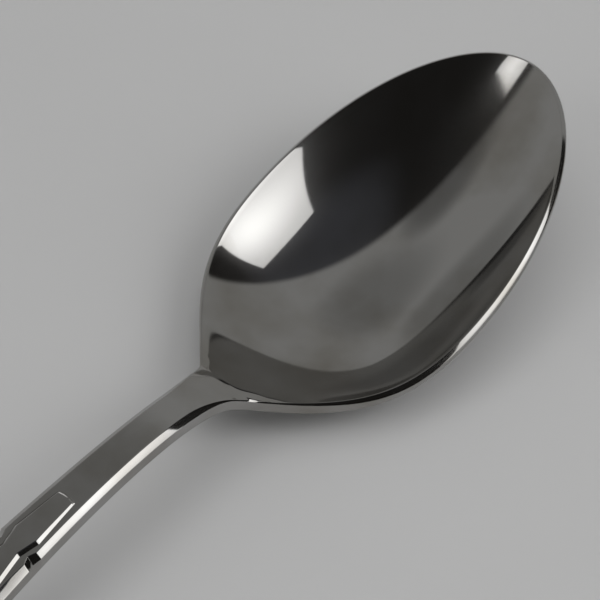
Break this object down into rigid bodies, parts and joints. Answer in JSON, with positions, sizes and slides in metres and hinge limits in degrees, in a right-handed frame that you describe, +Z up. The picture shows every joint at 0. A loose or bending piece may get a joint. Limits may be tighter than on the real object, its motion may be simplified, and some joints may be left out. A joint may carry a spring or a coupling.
{
  "type": "soup spoon",
  "caption": "Polished stainless steel soup spoon with an egg-shaped bowl, an arched neck, bevelled edges and a raised panel along the handle.",
  "frame": {"origin": "on the table, under the middle of the spoon's length and width, with the spoon lying as it rests", "axes": "+X along the spoon towards the tip of the bowl, +Y across it, +Z up"},
  "size_m": [0.2, 0.043, 0.0218],
  "materials": {
    "steel": "mirror polished stainless steel"
  },
  "bodies": {
    "root": {"bowl": "steel", "neck": "steel", "stem": "steel", "terminal": "steel", "panel": "steel"}
  },
  "joints": []
}
